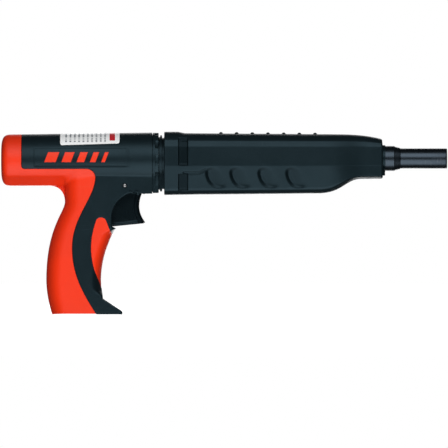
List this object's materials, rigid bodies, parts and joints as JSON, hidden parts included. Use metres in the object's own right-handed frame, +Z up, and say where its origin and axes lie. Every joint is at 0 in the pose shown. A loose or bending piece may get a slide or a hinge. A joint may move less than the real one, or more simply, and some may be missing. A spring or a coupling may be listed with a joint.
{
  "type": "powder-actuated nail gun",
  "caption": "Pistol-grip powder-actuated nail gun: round receiver, orange overmoulded grip, trigger, sliding ribbed foregrip and steel muzzle tube.",
  "frame": {"origin": "centre of the muzzle's front face, on the bore axis", "axes": "+X out of the muzzle, +Z up, so the tool's right side is at negative Y and the tool runs back along -X"},
  "size_m": [0.35, 0.044, 0.1435],
  "materials": {
    "black_plastic": "fine-textured glass-filled nylon",
    "orange_overmould": "satin soft overmould",
    "trigger_plastic": "semi-gloss moulded nylon",
    "blued_steel": "turned and blued",
    "bright_steel": "ground",
    "spring_steel": "oiled wire",
    "fastener_steel": "zinc-plated",
    "bronze": "machined bush",
    "insert_brass": "knurled",
    "buffer_rubber": "moulded",
    "label_film": "laminated film",
    "badge_orange": "inlaid"
  },
  "bodies": {
    "handle_unit": {"right_housing": "black_plastic", "left_housing": "black_plastic", "right_grip_overmould": "orange_overmould", "left_grip_overmould": "orange_overmould", "right_front_strap": "orange_overmould", "left_front_strap": "orange_overmould", "guide_tube": "bright_steel", "front_ring": "black_plastic", "travel_stop_ring": "spring_steel", "rear_buffer": "buffer_rubber", "spring_plug": "bright_steel", "housing_screws": "fastener_steel", "housing_inserts": "insert_brass", "trigger_pin": "bright_steel", "sear_pin": "bright_steel", "trigger_spring": "spring_steel", "sear_spring": "spring_steel", "product_label": "label_film", "right_badge": "badge_orange", "left_badge": "badge_orange", "firing_pin_spring": "spring_steel"},
    "trigger_lever": {"trigger": "trigger_plastic"},
    "sear_lever": {"sear": "bright_steel"},
    "breech": {"breech_block": "bright_steel"},
    "striker": {"firing_pin": "bright_steel"},
    "foregrip_unit": {"right_foregrip": "black_plastic", "left_foregrip": "black_plastic", "neck_sleeve": "black_plastic", "sleeve_bush": "bronze", "nose_bush": "black_plastic", "spring_seat": "bright_steel", "foregrip_screws": "fastener_steel", "foregrip_inserts": "insert_brass"},
    "barrel_unit": {"barrel": "blued_steel", "muzzle": "blued_steel", "barrel_collar": "blued_steel", "barrel_spring": "spring_steel", "piston_buffer": "buffer_rubber"},
    "piston_unit": {"piston": "bright_steel", "piston_ring": "spring_steel"}
  },
  "joints": [
    {"name": "barrel_open", "type": "slide", "parent": "handle_unit", "child": "foregrip_unit", "axis": [1, 0, 0], "range_m": [0, 0.065]},
    {"name": "nose_press", "type": "slide", "parent": "foregrip_unit", "child": "barrel_unit", "axis": [1, 0, 0], "range_m": [-0.008, 0], "stiffness_N_per_m": 3000, "springref_m": 0.015, "deforming": ["barrel_spring"]},
    {"name": "breech_follow", "type": "slide", "parent": "handle_unit", "child": "breech", "axis": [1, 0, 0], "range_m": [-0.008, 0]},
    {"name": "firing_pin_slide", "type": "slide", "parent": "breech", "child": "striker", "axis": [1, 0, 0], "range_m": [-0.006, 0], "stiffness_N_per_m": 2000, "springref_m": 0.01, "deforming": ["firing_pin_spring"]},
    {"name": "piston_stroke", "type": "slide", "parent": "barrel_unit", "child": "piston_unit", "axis": [1, 0, 0], "range_m": [0, 0.07]},
    {"name": "trigger_pull", "type": "hinge", "parent": "handle_unit", "child": "trigger_lever", "pos_m": [-0.2529, 0, -0.0213], "axis": [0, 1, 0], "range_deg": [0, 12], "stiffness_Nm_per_rad": 0.6, "springref_deg": -20.05},
    {"name": "sear_tilt", "type": "hinge", "parent": "handle_unit", "child": "sear_lever", "pos_m": [-0.275, 0, -0.0205], "axis": [0, 1, 0], "range_deg": [-8.64, 0]}
  ],
  "couplings": [
    {"joint": "breech_follow", "follows": "nose_press", "ratio": 1},
    {"joint": "sear_tilt", "follows": "trigger_pull", "ratio": -0.72}
  ]
}
